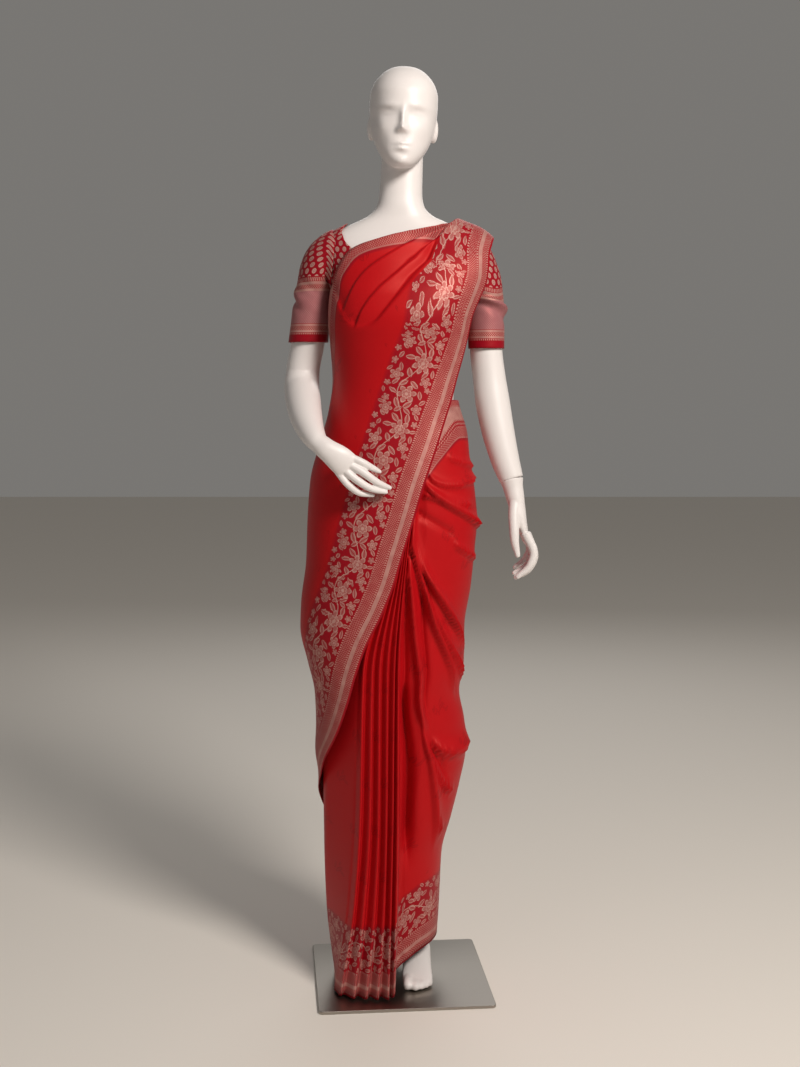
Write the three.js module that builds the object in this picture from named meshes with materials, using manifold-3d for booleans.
// A silk sari draped on a standing display mannequin, with its matching blouse.
// Millimetres, +Z up. The viewer looks along +Y, so -Y is the front and +X the viewer's right.
// The origin is the centre of the base plate's underside.
import * as THREE from "three";
import { mergeVertices } from "three/addons/utils/BufferGeometryUtils.js";
import Module from "manifold-3d";

const wasm = await Module();
wasm.setup();

// Driving dimensions
const PLATE_SIDE = 340;
const PLATE_THICK = 6;
const PLATE_CORNER = 9;
const PLATE_EDGE = 1.2;
const PLATE_TURN = 5.3;
const PLATE_CORNER_STEPS = 5;
const CLOTH_THICK = 1.5;
const BLOUSE_THICK = 1.6;
const PIECE_GAP = 0.4;
const SHOULDER_PEG = { radius: 28, reach: 158, long: 80, y: 36, z: 1426, sides: 20 };
const UNDERARM_CLEARANCE = 7;
const UNDERARM = { inner: 153, z: 1362, wide: 100, tall: 200 };
const PLEAT_COUNT = 6;
const PLEAT_CELLS = 4;
const SARI_ROWS = 15;
const TORSO_SIDES = 24;
const HEAD_SIDES = 22;
const FOOT_SIDES = 16;
const LEG_SIDES = 12;
const LEG_STEPS = 8;
const ARM_SIDES = 14;
const RIGHT_ARM_STEPS = 14;
const LEFT_ARM_STEPS = 12;
const WRIST_STEPS = 4;
const PALM_SIDES = 12;
const FINGER_SIDES = 8;
const HAND_STEPS = 5;
const BODICE_SIDES = 36;
const BODICE_ROWS = 9;
const SLEEVE_SIDES = 18;
const SLEEVE_STEPS = 7;

// Mannequin torso and neck: where each level section reaches
const TORSO = [
  { z: 770, left: -136, right: 112, front: -52, back: 122 },
  { z: 850, left: -143, right: 125, front: -62, back: 130 },
  { z: 920, left: -142, right: 131, front: -66, back: 128 },
  { z: 980, left: -131, right: 127, front: -64, back: 119 },
  { z: 1040, left: -115, right: 119, front: -60, back: 106 },
  { z: 1090, left: -104, right: 110, front: -56, back: 97 },
  { z: 1140, left: -100, right: 104, front: -56, back: 94 },
  { z: 1200, left: -106, right: 106, front: -60, back: 98 },
  { z: 1260, left: -115, right: 117, front: -70, back: 104 },
  { z: 1310, left: -121, right: 122, front: -80, back: 108 },
  { z: 1360, left: -126, right: 127, front: -70, back: 110 },
  { z: 1400, left: -136, right: 136, front: -52, back: 106 },
  { z: 1430, left: -148, right: 148, front: -40, back: 98 },
  { z: 1452, left: -150, right: 150, front: -28, back: 88 },
  { z: 1470, left: -136, right: 137, front: -18, back: 80 },
  { z: 1485, left: -110, right: 111, front: -12, back: 75 },
  { z: 1497, left: -84, right: 88, front: -9, back: 73 },
  { z: 1508, left: -62, right: 64, front: -7, back: 73 },
  { z: 1526, left: -45, right: 47, front: -6, back: 74 },
  { z: 1548, left: -40, right: 43, front: -3, back: 76 },
  { z: 1610, left: -36, right: 44, front: 2, back: 82 },
  { z: 1660, left: -34, right: 45, front: 12, back: 74 },
];

// Skirt turn of the sari: the mean surface of the cloth below the waist
const SKIRT = [
  { z: 0, left: -132, right: 68, front: -70, back: 112 },
  { z: 150, left: -150, right: 78, front: -73, back: 118 },
  { z: 255, left: -154, right: 83, front: -76, back: 122 },
  { z: 330, left: -155, right: 102, front: -79, back: 126 },
  { z: 400, left: -156, right: 119, front: -81, back: 130 },
  { z: 470, left: -157, right: 131, front: -83, back: 133 },
  { z: 525, left: -158, right: 127, front: -84, back: 136 },
  { z: 582, left: -159, right: 117, front: -85, back: 138 },
  { z: 640, left: -160, right: 126, front: -86, back: 140 },
  { z: 712, left: -162, right: 127, front: -87, back: 143 },
  { z: 790, left: -162, right: 139, front: -87, back: 147 },
  { z: 870, left: -160, right: 147, front: -87, back: 149 },
  { z: 920, left: -157, right: 151, front: -86, back: 148 },
  { z: 980, left: -149, right: 146, front: -83, back: 141 },
  { z: 1040, left: -135, right: 136, front: -77, back: 127 },
  { z: 1090, left: -122, right: 131, front: -71, back: 115 },
  { z: 1150, left: -114, right: 114, front: -68, back: 107 },
  { z: 1200, left: -114, right: 107, front: -68, back: 107 },
];

// Shoulder drape of the sari: the mean surface of the cloth that crosses the body and falls behind
const DRAPE = [
  { z: 0, left: -142, right: 74, front: -84, back: 120 },
  { z: 150, left: -160, right: 86, front: -88, back: 128 },
  { z: 330, left: -165, right: 110, front: -96, back: 136 },
  { z: 415, left: -162, right: 128, front: -108, back: 140 },
  { z: 470, left: -168, right: 140, front: -114, back: 143 },
  { z: 521, left: -166, right: 136, front: -117, back: 146 },
  { z: 582, left: -168, right: 132, front: -118, back: 149 },
  { z: 642, left: -181, right: 138, front: -118, back: 152 },
  { z: 712, left: -196, right: 140, front: -117, back: 156 },
  { z: 762, left: -194, right: 147, front: -116, back: 159 },
  { z: 842, left: -184, right: 156, front: -114, back: 164 },
  { z: 921, left: -181, right: 160, front: -110, back: 166 },
  { z: 999, left: -175, right: 155, front: -104, back: 163 },
  { z: 1078, left: -154, right: 143, front: -95, back: 155 },
  { z: 1136, left: -138, right: 136, front: -89, back: 147 },
  { z: 1194, left: -130, right: 134, front: -87, back: 140 },
  { z: 1260, left: -134, right: 138, front: -93, back: 135 },
  { z: 1310, left: -138, right: 147, front: -100, back: 131 },
  { z: 1350, left: -138, right: 164, front: -94, back: 128 },
  { z: 1385, left: -140, right: 181, front: -80, back: 124 },
  { z: 1420, left: -146, right: 190, front: -64, back: 117 },
  { z: 1445, left: -152, right: 186, front: -49, back: 108 },
  { z: 1463, left: -142, right: 175, front: -38, back: 100 },
  { z: 1479, left: -124, right: 155, front: -29, back: 94 },
  { z: 1491, left: -100, right: 126, front: -22, back: 88 },
  { z: 1502, left: -78, right: 98, front: -16, back: 84 },
];

// How squared each of these sections is: 2 is an ellipse
const ROUNDNESS = { torso: 2.25, skirt: 2.2, drape: 2.3 };

// The sari's one length, station by station: where its hem edge (low) and upper edge (up) lie.
// Angles turn from the viewer's right (0) by the back (90), the viewer's left (180) and the front (270),
// and go on past 360 as the cloth winds on. drape is the share of the shoulder drape's surface over the
// skirt's, inset how far the layer lies inside that surface, and cells the grid columns up to the next row.
const BEFORE_PLEATS = [
  { lowTurn: -52, lowZ: 118, upTurn: -58, upZ: 1068, inset: 6.5, cells: 3 },
  { lowTurn: 0, lowZ: 118, upTurn: 0, upZ: 1078, inset: 6.5, cells: 5 },
  { lowTurn: 90, lowZ: 36, upTurn: 90, upZ: 1084, inset: 6.5, cells: 4 },
  { lowTurn: 150, lowZ: 16, upTurn: 150, upZ: 1084, inset: 5.5, cells: 3 },
  { lowTurn: 182, lowZ: 14, upTurn: 190, upZ: 1072, inset: 2.5, cells: 2 },
  { lowTurn: 194, lowZ: 13, upTurn: 222, upZ: 1040, inset: 0, cells: 0 },
];
const LEFT_PANEL_CELLS = 3;
const AFTER_PLEATS = [
  { lowTurn: 291, lowZ: 56, upTurn: 288, upZ: 1082, drape: 0, cells: 4 },
  { lowTurn: 312, lowZ: 76, upTurn: 301, upZ: 1118, drape: 0, cells: 5 },
  { lowTurn: 345, lowZ: 86, upTurn: 328, upZ: 1156, drape: 0, cells: 4 },
  { lowTurn: 375, lowZ: 90, upTurn: 362, upZ: 1154, drape: 0, cells: 4 },
  { lowTurn: 410, lowZ: 108, upTurn: 405, upZ: 1146, drape: 0, cells: 4 },
  { lowTurn: 450, lowZ: 165, upTurn: 448, upZ: 1142, drape: 0.15, cells: 4 },
  { lowTurn: 492, lowZ: 265, upTurn: 482, upZ: 1152, drape: 0.6, cells: 3 },
  { lowTurn: 524, lowZ: 350, upTurn: 506, upZ: 1176, drape: 1, cells: 3 },
  { lowTurn: 560, lowZ: 425, upTurn: 524, upZ: 1218, drape: 1, cells: 3 },
  { lowTurn: 587, lowZ: 510, upTurn: 541, upZ: 1290, drape: 1, cells: 3 },
  { lowTurn: 608, lowZ: 624, upTurn: 556, upZ: 1352, drape: 1, cells: 3 },
  { lowTurn: 628, lowZ: 752, upTurn: 568, upZ: 1392, drape: 1, cells: 2 },
  { lowTurn: 634, lowZ: 860, upTurn: 578, upZ: 1415, drape: 1, cells: 2 },
  { lowTurn: 645, lowZ: 985, upTurn: 587, upZ: 1432, drape: 1, cells: 2 },
  { lowTurn: 659, lowZ: 1085, upTurn: 598, upZ: 1447, drape: 1, cells: 2 },
  { lowTurn: 675, lowZ: 1180, upTurn: 611, upZ: 1459, drape: 1, cells: 2 },
  { lowTurn: 690, lowZ: 1288, upTurn: 628, upZ: 1471, drape: 1, cells: 2 },
  { lowTurn: 690, lowZ: 1362, upTurn: 645, upZ: 1480, drape: 1, cells: 2 },
  { lowTurn: 686, lowZ: 1416, upTurn: 662, upZ: 1487, drape: 1, cells: 2 },
  { lowTurn: 698, lowZ: 1452, upTurn: 682, upZ: 1493, drape: 1, cells: 2 },
  { lowTurn: 722, lowZ: 1463, upTurn: 722, upZ: 1497, drape: 1, cells: 2 },
  { lowTurn: 743, lowZ: 1449, upTurn: 766, upZ: 1488, drape: 1, cells: 2 },
  { lowTurn: 759, lowZ: 1402, upTurn: 789, upZ: 1444, drape: 1, cells: 2 },
  { lowTurn: 764, lowZ: 1312, upTurn: 800, upZ: 1345, drape: 1, cells: 2 },
  { lowTurn: 763, lowZ: 1180, upTurn: 806, upZ: 1200, drape: 1, cells: 2 },
  { lowTurn: 760, lowZ: 1030, upTurn: 811, upZ: 1040, drape: 1, cells: 2 },
  { lowTurn: 756, lowZ: 880, upTurn: 815, upZ: 884, drape: 1, cells: 2 },
  { lowTurn: 753, lowZ: 690, upTurn: 819, upZ: 690, drape: 1, cells: 0 },
];

// Front pleats: where each ridge stands across the front, from the waist tuck down to the hem
const PLEAT_RIDGES = [
  { tuck: 14, hip: -9, thigh: -73, knee: -81, shin: -93, hem: -122 },
  { tuck: 18, hip: -5, thigh: -56, knee: -62, shin: -74, hem: -94 },
  { tuck: 22, hip: -1, thigh: -42, knee: -45, shin: -53, hem: -70 },
  { tuck: 26, hip: 3, thigh: -27, knee: -30, shin: -35, hem: -48 },
  { tuck: 30, hip: 7, thigh: -14, knee: -18, shin: -22, hem: -27 },
  { tuck: 34, hip: 11, thigh: -6, knee: -8, shin: -11, hem: -15 },
];
// How far the pleats stand forward of the skirt at the same levels, how deep they fold and their half pitch
const PLEAT_LEVELS = [
  { level: "hem", z: 10, forward: 54, depth: 16, half: 6 },
  { level: "shin", z: 180, forward: 31, depth: 15, half: 8 },
  { level: "knee", z: 350, forward: 19, depth: 14, half: 7.5 },
  { level: "thigh", z: 640, forward: 9, depth: 12, half: 7 },
  { level: "hip", z: 855, forward: 5, depth: 5, half: 2.6 },
  { level: "tuck", z: 1000, forward: 3, depth: 2.5, half: 2.2 },
];
const PLEAT_FOOT = 11;
const PLEAT_LAST_FOOT = 42;
const PLEAT_TOP = 1010;
const PLEAT_CURVE = 0.35;
const PLEAT_LIFT_OFF = 0.8;
const PLEAT_RETURN = 0.6;
const HALVINGS = 30;
const LEFT_PULL = 0.8;

// Folds that fan out from the waist tuck and hang round the skirt. Each runs from one turn and height by a
// bend to its end, wide at both ends and high as given; lean above 0 makes its lower flank the broad one.
const SKIRT_FOLDS = [
  { from: [352, 912], bend: [296, 957], to: [286, 1004], wide: [14, 8], high: 10, lean: 0.3 },
  { from: [277, 938], bend: [273, 814], to: [357, 658], wide: [7, 12], high: 13, lean: -0.3 },
  { from: [276, 922], bend: [283, 782], to: [337, 570], wide: [7, 13], high: 13, lean: -0.3 },
  { from: [274, 884], bend: [292, 635], to: [293, 494], wide: [7, 12], high: 12, lean: -0.3 },
  { from: [292, 514], bend: [298, 431], to: [326, 272], wide: [9, 14], high: 9, lean: -0.3 },
  { from: [351, 480], bend: [306, 454], to: [297, 508], wide: [16, 10], high: 13, lean: 0.3 },
  { from: [405, 1040], bend: [408, 700], to: [404, 150], wide: [16, 26], high: 6, lean: 0 },
  { from: [436, 1020], bend: [432, 700], to: [440, 230], wide: [16, 28], high: 7, lean: 0 },
  { from: [470, 1020], bend: [476, 700], to: [484, 300], wide: [16, 28], high: 6, lean: 0 },
];
const FOLD_STEPS = 10;
const FOLD_ARC = 2.35;
const FOLD_RISE = 0.2;
const FOLD_FADE = 0.3;

// Gathers of the shoulder drape: long ridges at a share of the width, from the hip up over the shoulder
const DRAPE_GATHERS = [
  { atHip: 0.4, atShoulder: 0.46, wideHip: 26, wideShoulder: 5, high: 5 },
  { atHip: 0.52, atShoulder: 0.55, wideHip: 26, wideShoulder: 5, high: 6 },
  { atHip: 0.64, atShoulder: 0.64, wideHip: 24, wideShoulder: 5, high: 6 },
  { atHip: 0.76, atShoulder: 0.73, wideHip: 22, wideShoulder: 5, high: 6 },
  { atHip: 0.88, atShoulder: 0.82, wideHip: 20, wideShoulder: 5, high: 5 },
];
const GATHER_FROM = 8;
const GATHER_FULL = 16;
const HIP_STATION = 9;
const SHOULDER_STATION = 19;

// Head: sections above the chin, leaning as a whole
const HEAD = [
  { z: 2, half: 13, front: -60, back: -34 },
  { z: 10, half: 26, front: -70, back: -6 },
  { z: 24, half: 38, front: -75, back: 22 },
  { z: 45, half: 50, front: -76, back: 48 },
  { z: 68, half: 58, front: -75, back: 72 },
  { z: 92, half: 62, front: -74, back: 92 },
  { z: 116, half: 65, front: -77, back: 101 },
  { z: 140, half: 65, front: -76, back: 102 },
  { z: 160, half: 60, front: -68, back: 96 },
  { z: 178, half: 48, front: -52, back: 81 },
  { z: 190, half: 33, front: -32, back: 59 },
  { z: 197, half: 15, front: -6, back: 30 },
];
const HEAD_AT = { x: 1.5, y: 16, z: 1589 };
const HEAD_ROLL = -2.6;
const HEAD_ROUNDNESS = 2.2;
const NOSE = { half: 11, tall: 48, y: -77, z: 74, sides: 10 };
const EAR = { x: 60.5, y: 16, z: 82, thick: 6.5, deep: 14, tall: 24, turn: 20, sides: 10, rows: 8 };

// Rounded end of a limb: rings that shrink as they go out, as shares of its radius
const DOME = [
  { scale: 0.78, push: 0.6 },
  { scale: 0.35, push: 0.93 },
];

// Limbs: centre line and radius down each one
const RIGHT_ARM = [
  { x: -155, y: 36, z: 1415, r: 26 },
  { x: -161, y: 36, z: 1396, r: 28.5 },
  { x: -167, y: 37, z: 1366, r: 30 },
  { x: -173, y: 40, z: 1318, r: 31.5 },
  { x: -179, y: 44, z: 1269, r: 32 },
  { x: -190, y: 48, z: 1213, r: 32.5 },
  { x: -192, y: 36, z: 1181, r: 34 },
  { x: -188, y: 4, z: 1160, r: 34 },
  { x: -180, y: -48, z: 1131, r: 31.5 },
  { x: -167, y: -100, z: 1101, r: 25.5 },
  { x: -152, y: -132, z: 1080, r: 20.5 },
  { x: -136, y: -142, z: 1068, r: 19 },
];
const LEFT_ARM = [
  { x: 154, y: 36, z: 1415, r: 26 },
  { x: 160, y: 36, z: 1392, r: 28 },
  { x: 166.8, y: 36, z: 1358, r: 29.2 },
  { x: 167, y: 36, z: 1305, r: 31 },
  { x: 168, y: 35, z: 1252, r: 31.5 },
  { x: 174, y: 33, z: 1200, r: 32 },
  { x: 181, y: 28, z: 1150, r: 33.5 },
  { x: 190, y: 20, z: 1100, r: 32 },
  { x: 204, y: 10, z: 1042, r: 28 },
  { x: 217, y: 2, z: 1001, r: 23.5 },
];
const RIGHT_LEG = [
  { x: -72, y: 34, z: 850, r: 62 },
  { x: -74, y: 32, z: 720, r: 58 },
  { x: -76, y: 28, z: 560, r: 49 },
  { x: -78, y: 24, z: 480, r: 45 },
  { x: -79, y: 34, z: 350, r: 45 },
  { x: -80, y: 38, z: 200, r: 34 },
  { x: -80, y: 38, z: 95, r: 27 },
  { x: -80, y: 38, z: 40, r: 29 },
];
const LEFT_LEG = [
  { x: 62, y: 34, z: 850, r: 60 },
  { x: 56, y: 32, z: 720, r: 56 },
  { x: 46, y: 28, z: 560, r: 49 },
  { x: 40, y: 24, z: 480, r: 45 },
  { x: 34, y: 34, z: 350, r: 43 },
  { x: 30, y: 38, z: 200, r: 33 },
  { x: 30, y: 38, z: 95, r: 27 },
  { x: 30, y: 38, z: 40, r: 29 },
];
// Feet: sections from the heel forward to the toes
const FOOT = [
  { y: 76, half: 17, top: 34 },
  { y: 66, half: 25, top: 52 },
  { y: 40, half: 28, top: 66 },
  { y: 8, half: 28, top: 60 },
  { y: -28, half: 29, top: 45 },
  { y: -62, half: 31, top: 31 },
  { y: -84, half: 31, top: 24 },
  { y: -97, half: 27, top: 19 },
  { y: -104, half: 18, top: 12 },
];
const FOOT_CENTRES = { right: -80, left: 34 };
const INSTEP_POWER = 0.8;

// Hands: palm sections and finger centre lines
const RIGHT_PALM = [
  { x: -150, y: -134, z: 1078, r: 18 },
  { x: -134, y: -142, z: 1066, r: 22 },
  { x: -115, y: -143, z: 1052, r: 26 },
  { x: -97, y: -141, z: 1036, r: 28 },
];
const RIGHT_FINGERS = [
  [
    { x: -101, y: -141, z: 1054, r: 9.5 },
    { x: -72, y: -138, z: 1043, r: 8.5 },
    { x: -50, y: -130, z: 1031, r: 7.5 },
    { x: -38, y: -124, z: 1024, r: 5.5 },
  ],
  [
    { x: -101, y: -142, z: 1044, r: 10 },
    { x: -66, y: -141, z: 1024, r: 8.8 },
    { x: -38, y: -133, z: 1004, r: 7.8 },
    { x: -19, y: -126, z: 995, r: 5.6 },
  ],
  [
    { x: -106, y: -142, z: 1034, r: 9.8 },
    { x: -76, y: -143, z: 1010, r: 8.6 },
    { x: -48, y: -136, z: 993, r: 7.6 },
    { x: -26, y: -127, z: 987, r: 5.5 },
  ],
  [
    { x: -112, y: -140, z: 1024, r: 9 },
    { x: -92, y: -140, z: 1001, r: 7.8 },
    { x: -70, y: -134, z: 985, r: 6.8 },
    { x: -50, y: -127, z: 981, r: 5 },
  ],
  [
    { x: -128, y: -138, z: 1074, r: 10 },
    { x: -104, y: -128, z: 1078, r: 9 },
    { x: -84, y: -120, z: 1070, r: 6 },
  ],
];
const LEFT_PALM = [
  { x: 215, y: 3, z: 1008, r: 23 },
  { x: 225, y: -6, z: 955, r: 17 },
  { x: 233, y: -8, z: 920, r: 21 },
  { x: 243, y: -6, z: 888, r: 23 },
];
const LEFT_FINGERS = [
  [
    { x: 243, y: -24, z: 896, r: 9.5 },
    { x: 259, y: -27, z: 858, r: 8.8 },
    { x: 250, y: -29, z: 836, r: 8 },
    { x: 228, y: -29, z: 815, r: 5.8 },
  ],
  [
    { x: 246, y: -10, z: 892, r: 9.8 },
    { x: 261, y: -10, z: 852, r: 9 },
    { x: 250, y: -11, z: 828, r: 8 },
    { x: 226, y: -12, z: 812, r: 5.8 },
  ],
  [
    { x: 246, y: 4, z: 892, r: 9.5 },
    { x: 260, y: 6, z: 854, r: 8.6 },
    { x: 248, y: 5, z: 832, r: 7.6 },
    { x: 224, y: 4, z: 818, r: 5.6 },
  ],
  [
    { x: 243, y: 16, z: 894, r: 8.5 },
    { x: 255, y: 20, z: 862, r: 7.6 },
    { x: 244, y: 20, z: 842, r: 6.8 },
    { x: 226, y: 19, z: 828, r: 5 },
  ],
  [
    { x: 224, y: -18, z: 942, r: 11 },
    { x: 221, y: -30, z: 905, r: 10 },
    { x: 224, y: -35, z: 876, r: 8.6 },
    { x: 229, y: -36, z: 856, r: 6 },
  ],
];

const RIGHT_PALM_FLAT = 1;
const LEFT_PALM_FLAT = 0.62;
const WRIST_EASE = 4;

// Blouse bodice: where its upper edge runs round the body
const NECKLINE = [
  { turn: 0, z: 1490 },
  { turn: 20, z: 1484 },
  { turn: 40, z: 1464 },
  { turn: 62, z: 1430 },
  { turn: 90, z: 1404 },
  { turn: 118, z: 1430 },
  { turn: 140, z: 1464 },
  { turn: 160, z: 1484 },
  { turn: 180, z: 1490 },
  { turn: 200, z: 1485 },
  { turn: 222, z: 1466 },
  { turn: 236, z: 1440 },
  { turn: 252, z: 1412 },
  { turn: 270, z: 1400 },
  { turn: 288, z: 1412 },
  { turn: 304, z: 1440 },
  { turn: 318, z: 1466 },
  { turn: 340, z: 1485 },
  { turn: 360, z: 1490 },
];
const BODICE_HEM = 1226;
const BODICE_EASE = 4;
const BODICE_CROWDING = 1.6;
const ARMHOLE = { radius: 58, x: 130.5, y: 36, z: 1420, long: 80, sides: 24 };
// Sleeves: level sections from the shoulder cap down to the hem
const SLEEVE_RIGHT = [
  { x: -138, y: 36, z: 1430, wide: 51.5, deep: 51, tilt: 95 },
  { x: -155.5, y: 36, z: 1412, wide: 44, deep: 48, tilt: 66 },
  { x: -163, y: 36, z: 1394, wide: 36, deep: 44, tilt: 36 },
  { x: -167.5, y: 37, z: 1367, wide: 33.5, deep: 40, tilt: 16 },
  { x: -171.5, y: 39, z: 1342, wide: 35.5, deep: 38, tilt: 6 },
  { x: -175, y: 42, z: 1305, wide: 37, deep: 38, tilt: 0 },
  { x: -179, y: 44, z: 1267, wide: 38.5, deep: 39, tilt: 0 },
];
const SLEEVE_LEFT = [
  { x: 138, y: 36, z: 1430, wide: 51.5, deep: 51, tilt: -95 },
  { x: 154.5, y: 36, z: 1411, wide: 42, deep: 47, tilt: -66 },
  { x: 162.5, y: 36, z: 1392, wide: 33, deep: 43, tilt: -36 },
  { x: 166.5, y: 36, z: 1364, wide: 32.5, deep: 39, tilt: -12 },
  { x: 167.5, y: 36, z: 1335, wide: 34, deep: 37, tilt: -3 },
  { x: 167.5, y: 36, z: 1298, wide: 35, deep: 37, tilt: 0 },
  { x: 168, y: 35, z: 1255, wide: 34.5, deep: 37, tilt: 0 },
];

// Materials, as photographed
const silk = new THREE.MeshStandardMaterial({ color: 0xb8161a, roughness: 0.38, metalness: 0 });
const brocade = new THREE.MeshStandardMaterial({ color: 0xa51c2c, roughness: 0.45, metalness: 0 });
const fibreglass = new THREE.MeshStandardMaterial({ color: 0xe9e4e2, roughness: 0.42, metalness: 0 });
const steel = new THREE.MeshStandardMaterial({ color: 0x8d8478, roughness: 0.32, metalness: 1 });

const AXIS_Y = new THREE.Vector3(0, 1, 0);
const degrees = THREE.MathUtils.degToRad;
const clamp01 = (value) => Math.min(1, Math.max(0, value));
const smooth = (value) => clamp01(value) ** 2 * (3 - 2 * clamp01(value));
const mix = (a, b, share) => a + (b - a) * share;

// One column of a table as a smooth curve that never overshoots its rows.
function tableCurve(rows, along, column) {
  const at = rows.map((row) => row[along]);
  const value = rows.map((row) => row[column] ?? 0);
  const slope = at.slice(1).map((next, i) => (value[i + 1] - value[i]) / (next - at[i]));
  const tangent = at.map((_, i) => {
    if (i === 0) return slope[0];
    if (i === at.length - 1) return slope[i - 1];
    const before = slope[i - 1];
    const after = slope[i];
    return before * after <= 0 ? 0 : (2 * before * after) / (before + after);
  });
  return (where) => {
    const w = Math.min(at[at.length - 1], Math.max(at[0], where));
    let i = 0;
    while (i < at.length - 2 && w > at[i + 1]) i += 1;
    const span = at[i + 1] - at[i];
    const t = (w - at[i]) / span;
    const startShare = (1 + 2 * t) * (1 - t) ** 2;
    const endShare = t * t * (3 - 2 * t);
    const startLean = t * (1 - t) ** 2 * span * tangent[i];
    const endLean = t * t * (t - 1) * span * tangent[i + 1];
    return value[i] * startShare + startLean + value[i + 1] * endShare + endLean;
  };
}

// A surface of level sections: gives the point at a turn (degrees) and height.
function sectionSurface(rows, roundness) {
  const curve = (column) => tableCurve(rows, "z", column);
  const [left, right, front, back] = ["left", "right", "front", "back"].map(curve);
  const power = 2 / roundness;
  return (turn, z) => {
    const c = Math.cos(degrees(turn));
    const s = Math.sin(degrees(turn));
    const x = (left(z) + right(z)) / 2 + ((right(z) - left(z)) / 2) * Math.sign(c) * Math.abs(c) ** power;
    const y = (front(z) + back(z)) / 2 + ((back(z) - front(z)) / 2) * Math.sign(s) * Math.abs(s) ** power;
    return new THREE.Vector3(x, y, z);
  };
}

const torsoSurface = sectionSurface(TORSO, ROUNDNESS.torso);
const skirtSurface = sectionSurface(SKIRT, ROUNDNESS.skirt);
const drapeSurface = sectionSurface(DRAPE, ROUNDNESS.drape);

// The outward direction of a section surface.
function outward(surface, turn, z) {
  const step = 0.5;
  const around = surface(turn + step, z).sub(surface(turn - step, z));
  const up = surface(turn, z + step).sub(surface(turn, z - step));
  return around.cross(up).normalize();
}

// Solid from a closed mesh of points and triangles, turned the right way out.
function solidOf(points, triangles) {
  const geometry = new THREE.BufferGeometry();
  const coordinates = points.flatMap((p) => [p.x, p.y, p.z]);
  geometry.setAttribute("position", new THREE.Float32BufferAttribute(coordinates, 3));
  geometry.setIndex(triangles);
  return solidFromGeometry(geometry);
}

function solidFromGeometry(geometry) {
  const bare = geometry.clone();
  bare.deleteAttribute("normal");
  bare.deleteAttribute("uv");
  const merged = mergeVertices(bare, 1e-4);
  const vertProperties = new Float32Array(merged.attributes.position.array);
  const triVerts = new Uint32Array(merged.index.array);
  const solid = new wasm.Manifold(new wasm.Mesh({ numProp: 3, vertProperties, triVerts }));
  if (solid.volume() >= 0) return solid;
  for (let i = 0; i < triVerts.length; i += 3) {
    [triVerts[i + 1], triVerts[i + 2]] = [triVerts[i + 2], triVerts[i + 1]];
  }
  return new wasm.Manifold(new wasm.Mesh({ numProp: 3, vertProperties, triVerts }));
}

// Named mesh of a solid.
function meshOf(name, solid, material) {
  const made = solid.getMesh();
  const geometry = new THREE.BufferGeometry();
  geometry.setAttribute("position", new THREE.BufferAttribute(new Float32Array(made.vertProperties), 3));
  geometry.setIndex(new THREE.BufferAttribute(new Uint32Array(made.triVerts), 1));
  geometry.computeVertexNormals();
  const mesh = new THREE.Mesh(geometry, material);
  mesh.name = name;
  return mesh;
}

// Closed solid through a row of rings with as many points each, capped at both ends.
function loft(rings) {
  const count = rings[0].length;
  const points = rings.flat();
  const triangles = [];
  for (let r = 0; r < rings.length - 1; r += 1) {
    for (let i = 0; i < count; i += 1) {
      const a = r * count + i;
      const b = r * count + ((i + 1) % count);
      triangles.push(a, b, a + count, b, b + count, a + count);
    }
  }
  const cap = (ring, first, reversed) => {
    const centre = ring.reduce((sum, p) => sum.add(p), new THREE.Vector3()).divideScalar(count);
    points.push(centre);
    for (let i = 0; i < count; i += 1) {
      const next = first + ((i + 1) % count);
      const corners = reversed ? [points.length - 1, next, first + i] : [points.length - 1, first + i, next];
      triangles.push(...corners);
    }
  };
  cap(rings[0], 0, true);
  cap(rings[rings.length - 1], (rings.length - 1) * count, false);
  return solidOf(points, triangles);
}

// Round limb along a centre line: rows of x, y, z and r, with rounded tips where asked.
function limb(rows, sides, steps, { flat = 1, roundTop = false, roundTip = false, across = AXIS_Y } = {}) {
  const centres = rows.map((row) => new THREE.Vector3(row.x, row.y, row.z));
  const line = new THREE.CatmullRomCurve3(centres, false, "centripetal");
  const radius = tableCurve(rows.map((row, i) => ({ at: i / (rows.length - 1), r: row.r })), "at", "r");
  const rings = [];
  const ringAt = (share, scale, push) => {
    const centre = line.getPoint(share);
    const along = line.getTangent(share);
    const side = across.clone().addScaledVector(along, -across.dot(along)).normalize();
    const other = along.clone().cross(side);
    const r = radius(share) * scale;
    centre.addScaledVector(along, push);
    rings.push(
      Array.from({ length: sides }, (_, i) => {
        const turn = (2 * Math.PI * i) / sides;
        const point = centre.clone().addScaledVector(side, Math.cos(turn) * r);
        return point.addScaledVector(other, Math.sin(turn) * r * flat);
      }),
    );
  };
  if (roundTop) {
    for (const { scale, push } of [...DOME].reverse()) ringAt(0, scale, -rows[0].r * push);
  }
  for (let s = 0; s <= steps; s += 1) ringAt(s / steps, 1, 0);
  if (roundTip) {
    for (const { scale, push } of DOME) ringAt(1, scale, rows[rows.length - 1].r * push);
  }
  return loft(rings);
}

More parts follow.
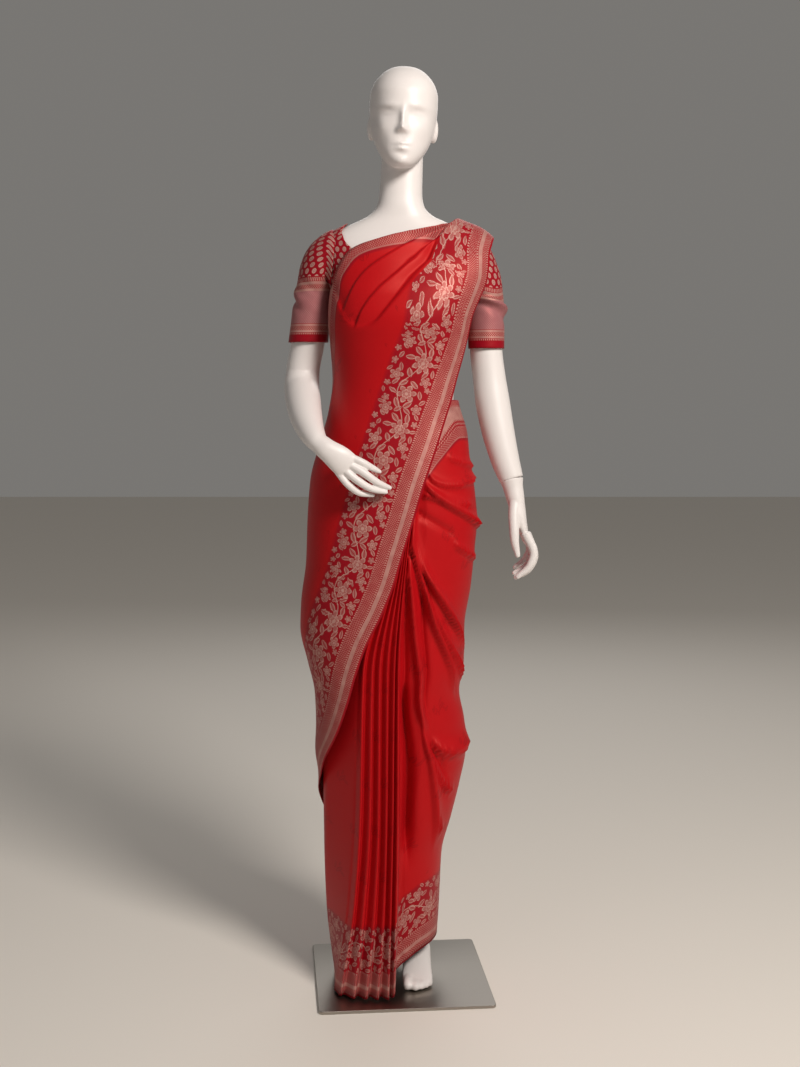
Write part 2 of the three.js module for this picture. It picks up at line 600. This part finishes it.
// Thin cloth solid from a grid of points: half the thickness goes to each side.
function clothSolid(grid, thick, joined) {
  const rows = grid.length;
  const cols = grid[0].length;
  const wrap = (c) => (joined ? (c + cols) % cols : Math.min(cols - 1, Math.max(0, c)));
  const held = (r) => Math.min(rows - 1, Math.max(0, r));
  const faces = [1, -1].map((side) =>
    grid.map((line, r) =>
      line.map((point, c) => {
        const around = grid[r][wrap(c + 1)].clone().sub(grid[r][wrap(c - 1)]);
        const up = grid[held(r + 1)][c].clone().sub(grid[held(r - 1)][c]);
        const normal = around.cross(up).normalize();
        return point.clone().addScaledVector(normal, (side * thick) / 2);
      }),
    ),
  );
  const points = faces.flat(2);
  const index = (face, r, c) => face * rows * cols + r * cols + wrap(c);
  const triangles = [];
  const quad = (a, b, c, d) => triangles.push(a, b, c, a, c, d);
  const lastCol = joined ? cols : cols - 1;
  for (let r = 0; r < rows - 1; r += 1) {
    for (let c = 0; c < lastCol; c += 1) {
      quad(index(0, r, c), index(0, r, c + 1), index(0, r + 1, c + 1), index(0, r + 1, c));
      quad(index(1, r, c), index(1, r + 1, c), index(1, r + 1, c + 1), index(1, r, c + 1));
    }
  }
  for (let c = 0; c < lastCol; c += 1) {
    quad(index(0, 0, c + 1), index(0, 0, c), index(1, 0, c), index(1, 0, c + 1));
    quad(index(0, rows - 1, c), index(0, rows - 1, c + 1), index(1, rows - 1, c + 1), index(1, rows - 1, c));
  }
  if (!joined) {
    for (let r = 0; r < rows - 1; r += 1) {
      quad(index(0, r, 0), index(0, r + 1, 0), index(1, r + 1, 0), index(1, r, 0));
      const end = cols - 1;
      quad(index(0, r + 1, end), index(0, r, end), index(1, r, end), index(1, r + 1, end));
    }
  }
  return solidOf(points, triangles);
}

// Height of all skirt folds at a turn and level.
const foldLines = SKIRT_FOLDS.map((fold) => {
  const points = Array.from({ length: FOLD_STEPS + 1 }, (_, i) => {
    const t = i / FOLD_STEPS;
    const [turn, z] = [0, 1].map((axis) => {
      const early = mix(fold.from[axis], fold.bend[axis], t);
      return mix(early, mix(fold.bend[axis], fold.to[axis], t), t);
    });
    return { t, arc: turn * FOLD_ARC, z };
  });
  return { fold, points };
});

function skirtFolds(turn, z) {
  const arc = turn * FOLD_ARC;
  return foldLines.reduce((sum, { fold, points }) => {
    let nearest = { distance: Infinity };
    points.slice(1).forEach((end, i) => {
      const start = points[i];
      const runArc = end.arc - start.arc;
      const runZ = end.z - start.z;
      const share = clamp01(((arc - start.arc) * runArc + (z - start.z) * runZ) / (runArc ** 2 + runZ ** 2));
      const offArc = arc - start.arc - share * runArc;
      const offZ = z - start.z - share * runZ;
      const distance = Math.hypot(offArc, offZ);
      if (distance >= nearest.distance) return;
      const side = Math.sign(runZ * offArc - runArc * offZ);
      nearest = { distance, side, t: mix(start.t, end.t, share) };
    });
    const wide = mix(...fold.wide, nearest.t) * (1 + fold.lean * nearest.side);
    const taper = smooth(0.6 + nearest.t / FOLD_RISE) * smooth((1 - nearest.t) / FOLD_FADE);
    return sum + fold.high * taper * Math.exp(-((nearest.distance / wide) ** 2));
  }, 0);
}

// Point of the skirt layer, with its folds, at a turn and level.
function skirtPoint(turn, z, inset, folds) {
  const direction = outward(skirtSurface, turn, z);
  return skirtSurface(turn, z).addScaledVector(direction, folds - inset);
}

// Front of the skirt's surface straight ahead of a place across it.
function skirtFrontAt(x, z) {
  let low = 180;
  let high = 360;
  for (let i = 0; i < HALVINGS; i += 1) {
    const middle = (low + high) / 2;
    if (skirtSurface(middle, z).x < x) low = middle;
    else high = middle;
  }
  return skirtSurface((low + high) / 2, z).y;
}

const pleatLevel = (column) => tableCurve(PLEAT_LEVELS, "z", column);
const pleatForward = pleatLevel("forward");
const pleatDepth = pleatLevel("depth");
const pleatHalf = pleatLevel("half");
const pleatRidge = PLEAT_RIDGES.map((ridge) =>
  tableCurve(PLEAT_LEVELS.map(({ level, z }) => ({ z, x: ridge[level] })), "z", "x"),
);

// Point of the pleated front: across counts pleats from the left one, with ridges at the halves.
function pleatPoint(across, z) {
  const pleat = Math.min(PLEAT_COUNT - 1, Math.floor(across));
  const phase = across - pleat;
  const here = pleatRidge[pleat](z);
  const before = pleat > 0 ? (pleatRidge[pleat - 1](z) + here) / 2 : here - pleatHalf(z);
  const after = pleat < PLEAT_COUNT - 1 ? (pleatRidge[pleat + 1](z) + here) / 2 : here + pleatHalf(z);
  const x = phase < 0.5 ? mix(before, here, phase * 2) : mix(here, after, phase * 2 - 1);
  const crest = 0.5 - 0.5 * Math.cos(2 * Math.PI * phase);
  const fromLeft = mix(LEFT_PULL, 1, smooth(across));
  const fromRight = smooth((PLEAT_COUNT - across) / PLEAT_RETURN);
  const forward = pleatForward(z) * fromLeft * fromRight + pleatDepth(z) * crest;
  const front = mix(skirtSurface(270, z).y, skirtFrontAt(x, z), PLEAT_CURVE);
  return new THREE.Vector3(x, front - forward, z);
}

// The sari's grid, one column of points for each place along its length.
function stationColumns(stations, pointAt) {
  const rows = stations.map((row, at) => ({ at, ...row }));
  const curves = {};
  for (const column of ["lowTurn", "lowZ", "upTurn", "upZ", "inset", "drape"]) {
    curves[column] = tableCurve(rows, "at", column);
  }
  const places = rows.flatMap(({ at, cells }) => Array.from({ length: cells }, (_, i) => at + i / cells));
  if (rows[rows.length - 1].cells === 0) places.push(rows.length - 1);
  return places.map((at) =>
    Array.from({ length: SARI_ROWS + 1 }, (_, r) => {
      const share = r / SARI_ROWS;
      const turn = mix(curves.lowTurn(at), curves.upTurn(at), share);
      const z = mix(curves.lowZ(at), curves.upZ(at), share);
      return pointAt({ at, share, turn, z, inset: curves.inset(at), drape: curves.drape(at) });
    }),
  );
}

const beforePleats = ({ turn, z, inset }) => skirtPoint(turn, z, inset, 0);

function afterPleats({ at, share, turn, z, drape }) {
  const skirt = skirtPoint(turn, z, 0, skirtFolds(turn, z) * (1 - drape));
  if (drape === 0) return skirt;
  const gather = smooth((at - GATHER_FROM) / (GATHER_FULL - GATHER_FROM));
  const ridge = DRAPE_GATHERS.reduce((sum, row) => {
    const toShoulder = smooth((at - HIP_STATION) / (SHOULDER_STATION - HIP_STATION));
    const off = (share - mix(row.atHip, row.atShoulder, toShoulder)) * clothWidthAt(at);
    return sum + row.high * Math.exp(-((off / mix(row.wideHip, row.wideShoulder, toShoulder)) ** 2));
  }, 0);
  const lifted = drapeSurface(turn, z).addScaledVector(outward(drapeSurface, turn, z), ridge * gather);
  return skirt.lerp(lifted, drape);
}

// Width of the drape across a station, from its two edges.
function clothWidthAt(at) {
  const i = Math.min(AFTER_PLEATS.length - 2, Math.floor(at));
  const width = ({ lowTurn, lowZ, upTurn, upZ }) =>
    drapeSurface(lowTurn, lowZ).distanceTo(drapeSurface(upTurn, upZ));
  return mix(width(AFTER_PLEATS[i]), width(AFTER_PLEATS[i + 1]), at - i);
}

function pleatColumns() {
  return Array.from({ length: PLEAT_COUNT * PLEAT_CELLS + 1 }, (_, c) => {
    const across = c / PLEAT_CELLS;
    const foot = mix(PLEAT_FOOT, PLEAT_LAST_FOOT, smooth((across - PLEAT_COUNT) / PLEAT_LIFT_OFF + 1));
    const heights = Array.from({ length: SARI_ROWS + 1 }, (__, r) => mix(foot, PLEAT_TOP, r / SARI_ROWS));
    return heights.map((z) => pleatPoint(across, z));
  });
}

// Flat panel between the left side and the first pleat.
function leftPanelColumns(from, to) {
  return Array.from({ length: LEFT_PANEL_CELLS - 1 }, (_, c) =>
    from.map((point, r) => point.clone().lerp(to[r], (c + 1) / LEFT_PANEL_CELLS)),
  );
}

function sari() {
  const before = stationColumns(BEFORE_PLEATS, beforePleats);
  const pleats = pleatColumns();
  const columns = [
    ...before,
    ...leftPanelColumns(before[before.length - 1], pleats[0]),
    ...pleats,
    ...stationColumns(AFTER_PLEATS, afterPleats),
  ];
  const grid = Array.from({ length: SARI_ROWS + 1 }, (_, r) => columns.map((column) => column[r]));
  return meshOf("sari", clothSolid(grid, CLOTH_THICK, false), silk);
}

// Mannequin
function torsoGrownBy(margin) {
  const ringAt = (z) =>
    Array.from({ length: TORSO_SIDES }, (_, i) => {
      const turn = (360 * i) / TORSO_SIDES;
      return torsoSurface(turn, z).addScaledVector(outward(torsoSurface, turn, z), margin);
    });
  return loft(TORSO.map(({ z }) => ringAt(z)));
}

// Round peg at a shoulder that carries the arm.
function shoulderPeg(side, margin) {
  const { radius, reach, long, y, z, sides } = SHOULDER_PEG;
  const peg = new THREE.CylinderGeometry(radius + margin, radius + margin, long, sides);
  peg.rotateZ(Math.PI / 2).translate(side * (reach + margin - long / 2), y, z);
  return solidFromGeometry(peg);
}

const torso = () => torsoGrownBy(0).add(shoulderPeg(-1, 0)).add(shoulderPeg(1, 0));

// Arm from its centre line, hollowed where it sits against the shoulder.
function armAt(side, rows, steps) {
  const { inner, z, wide, tall } = UNDERARM;
  const flat = new THREE.BoxGeometry(wide, tall, tall);
  flat.translate(side * (inner - wide / 2), SHOULDER_PEG.y, z + tall / 2);
  const cuts = [torsoGrownBy(UNDERARM_CLEARANCE), solidFromGeometry(flat), shoulderPeg(side, PIECE_GAP)];
  return cuts.reduce((whole, cut) => whole.subtract(cut), limb(rows, ARM_SIDES, steps, { roundTop: true }));
}

function head() {
  const power = 2 / HEAD_ROUNDNESS;
  const rings = HEAD.map(({ z, half, front, back }) =>
    Array.from({ length: HEAD_SIDES }, (_, i) => {
      const turn = (2 * Math.PI * i) / HEAD_SIDES;
      const c = Math.cos(turn);
      const s = Math.sin(turn);
      const x = half * Math.sign(c) * Math.abs(c) ** power;
      const y = (front + back) / 2 + ((back - front) / 2) * Math.sign(s) * Math.abs(s) ** power;
      return new THREE.Vector3(x, y, z);
    }),
  );
  const nose = new THREE.ConeGeometry(NOSE.half, NOSE.tall, NOSE.sides);
  nose.rotateX(Math.PI / 2).translate(0, NOSE.y, NOSE.z);
  const ears = [-1, 1].map((side) => {
    const ear = new THREE.SphereGeometry(1, EAR.sides, EAR.rows);
    ear.scale(EAR.thick, EAR.deep, EAR.tall).rotateZ(side * degrees(EAR.turn));
    return ear.translate(side * EAR.x, EAR.y, EAR.z);
  });
  const whole = [nose, ...ears].reduce((sum, piece) => sum.add(solidFromGeometry(piece)), loft(rings));
  return whole.rotate([0, -HEAD_ROLL, 0]).translate([HEAD_AT.x, HEAD_AT.y, HEAD_AT.z]);
}

function foot(centre) {
  const sole = PLATE_THICK + PIECE_GAP;
  const rings = FOOT.map(({ y, half, top }) =>
    Array.from({ length: FOOT_SIDES }, (_, i) => {
      const turn = (2 * Math.PI * i) / FOOT_SIDES;
      const rise = ((Math.sin(turn) + 1) / 2) ** INSTEP_POWER;
      return new THREE.Vector3(centre + half * Math.cos(turn), y, sole + (top - PLATE_THICK) * rise);
    }),
  );
  return loft(rings);
}

function mannequinBody() {
  const pieces = [
    head(),
    limb(RIGHT_LEG, LEG_SIDES, LEG_STEPS),
    limb(LEFT_LEG, LEG_SIDES, LEG_STEPS),
    foot(FOOT_CENTRES.right),
    foot(FOOT_CENTRES.left),
  ];
  return meshOf("mannequin_body", pieces.reduce((whole, piece) => whole.add(piece), torso()), fibreglass);
}

// Palm, round wrist and fingers, joined to one hand.
function hand(palm, fingers, flat) {
  const wrist = limb(palm.slice(0, 2), PALM_SIDES, WRIST_STEPS);
  const palmSolid = limb(palm, PALM_SIDES, HAND_STEPS, { flat, roundTip: true }).add(wrist);
  const fingerSolids = fingers.map((finger) => limb(finger, FINGER_SIDES, HAND_STEPS, { roundTip: true }));
  return fingerSolids.reduce((whole, finger) => whole.add(finger), palmSolid);
}

function rightArm() {
  const rightHand = hand(RIGHT_PALM, RIGHT_FINGERS, RIGHT_PALM_FLAT);
  return meshOf("arm_right", armAt(-1, RIGHT_ARM, RIGHT_ARM_STEPS).add(rightHand), fibreglass);
}

const leftArm = () => meshOf("arm_left", armAt(1, LEFT_ARM, LEFT_ARM_STEPS), fibreglass);

// Hand that meets the arm's end face at the wrist seam.
function leftHand() {
  const forearm = LEFT_ARM.slice(-3).map((row) => ({ ...row, r: row.r + WRIST_EASE, z: row.z - PIECE_GAP }));
  const whole = hand(LEFT_PALM, LEFT_FINGERS, LEFT_PALM_FLAT);
  const seated = whole.subtract(limb(forearm, ARM_SIDES, WRIST_STEPS));
  return meshOf("hand_left", seated, fibreglass);
}

// Blouse
function bodice() {
  const top = tableCurve(NECKLINE, "turn", "z");
  const grid = Array.from({ length: BODICE_ROWS + 1 }, (_, r) =>
    Array.from({ length: BODICE_SIDES }, (__, c) => {
      const turn = (360 * c) / BODICE_SIDES;
      const share = 1 - (1 - r / BODICE_ROWS) ** BODICE_CROWDING;
      const z = mix(BODICE_HEM, top(turn), share);
      return torsoSurface(turn, z).addScaledVector(outward(torsoSurface, turn, z), BODICE_EASE);
    }),
  );
  const armholes = [-1, 1].map((side) => {
    const cut = new THREE.CylinderGeometry(ARMHOLE.radius, ARMHOLE.radius, ARMHOLE.long, ARMHOLE.sides);
    cut.rotateZ(Math.PI / 2).translate(side * (ARMHOLE.x + ARMHOLE.long / 2), ARMHOLE.y, ARMHOLE.z);
    return solidFromGeometry(cut);
  });
  const shell = armholes.reduce((whole, cut) => whole.subtract(cut), clothSolid(grid, BLOUSE_THICK, true));
  return meshOf("blouse_bodice", shell, brocade);
}

function sleeve(name, sections) {
  const rows = sections.map((row, at) => ({ at, ...row }));
  const [x, y, z, wide, deep, tilt] = ["x", "y", "z", "wide", "deep", "tilt"].map((column) =>
    tableCurve(rows, "at", column),
  );
  const grid = Array.from({ length: SLEEVE_STEPS + 1 }, (_, s) => {
    const at = ((rows.length - 1) * (SLEEVE_STEPS - s)) / SLEEVE_STEPS;
    return Array.from({ length: SLEEVE_SIDES }, (__, c) => {
      const turn = (2 * Math.PI * c) / SLEEVE_SIDES;
      const out = wide(at) * Math.cos(turn);
      const lean = degrees(tilt(at));
      const depth = deep(at) * Math.sin(turn);
      const point = new THREE.Vector3(x(at), y(at), z(at));
      const spread = new THREE.Vector3(out * Math.cos(lean), depth, -out * Math.sin(lean));
      return point.add(spread);
    });
  });
  return meshOf(name, clothSolid(grid, BLOUSE_THICK, true), brocade);
}

// Base plate: a square sheet with rounded corners and eased edges
function basePlate() {
  const half = PLATE_SIDE / 2 - PLATE_EDGE;
  const inner = half - PLATE_CORNER;
  const outline = new THREE.Shape();
  outline.moveTo(-inner, -half).lineTo(inner, -half);
  outline.absarc(inner, -inner, PLATE_CORNER, -Math.PI / 2, 0);
  outline.absarc(inner, inner, PLATE_CORNER, 0, Math.PI / 2);
  outline.absarc(-inner, inner, PLATE_CORNER, Math.PI / 2, Math.PI);
  outline.absarc(-inner, -inner, PLATE_CORNER, Math.PI, 1.5 * Math.PI);
  const geometry = new THREE.ExtrudeGeometry(outline, {
    depth: PLATE_THICK - 2 * PLATE_EDGE,
    bevelSize: PLATE_EDGE,
    bevelThickness: PLATE_EDGE,
    bevelSegments: 1,
    curveSegments: PLATE_CORNER_STEPS,
  });
  geometry.translate(0, 0, PLATE_EDGE).rotateZ(degrees(PLATE_TURN));
  return meshOf("base_plate", solidFromGeometry(geometry), steel);
}

const dressedFigure = new THREE.Group();
dressedFigure.add(
  basePlate(),
  mannequinBody(),
  rightArm(),
  leftArm(),
  leftHand(),
  bodice(),
  sleeve("blouse_sleeve_right", SLEEVE_RIGHT),
  sleeve("blouse_sleeve_left", SLEEVE_LEFT),
  sari(),
);

export default dressedFigure;
